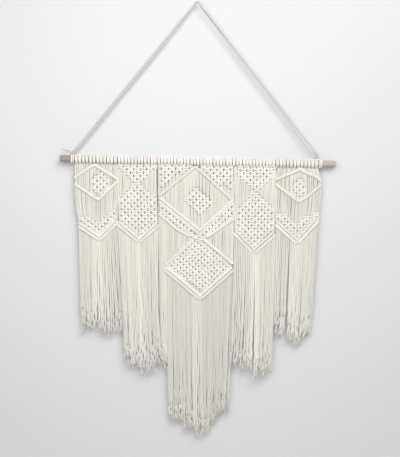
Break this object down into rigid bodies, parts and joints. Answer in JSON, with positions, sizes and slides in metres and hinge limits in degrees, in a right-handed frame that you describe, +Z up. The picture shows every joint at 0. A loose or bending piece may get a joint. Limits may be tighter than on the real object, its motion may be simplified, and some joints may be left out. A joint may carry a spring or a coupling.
{
  "type": "macrame wall hanging with wooden dowel",
  "caption": "Knotted cotton wall hanging of side-by-side panels with nets, hitched diamonds and long fringe, on a round wooden dowel with a doubled hanger cord.",
  "frame": {"origin": "underside of the hanger cord's bight, where it rests on a nail", "axes": "+Z up, +X to the right as seen from the front, +Y back towards the wall; the knotted face looks along -Y"},
  "size_m": [0.76, 0.0252, 1.1942],
  "materials": {
    "wood": "plain sanded wood, unvarnished",
    "cotton_cord": "matt twisted cotton cord, cream"
  },
  "bodies": {
    "root": {"dowel": "wood", "hanger_strand_front": "cotton_cord", "hanger_strand_back": "cotton_cord", "hanger_knot_left": "cotton_cord", "hanger_knot_right": "cotton_cord", "outer_left_panel": "cotton_cord", "inner_left_panel": "cotton_cord", "centre_panel": "cotton_cord", "inner_right_panel": "cotton_cord", "outer_right_panel": "cotton_cord"}
  },
  "joints": []
}
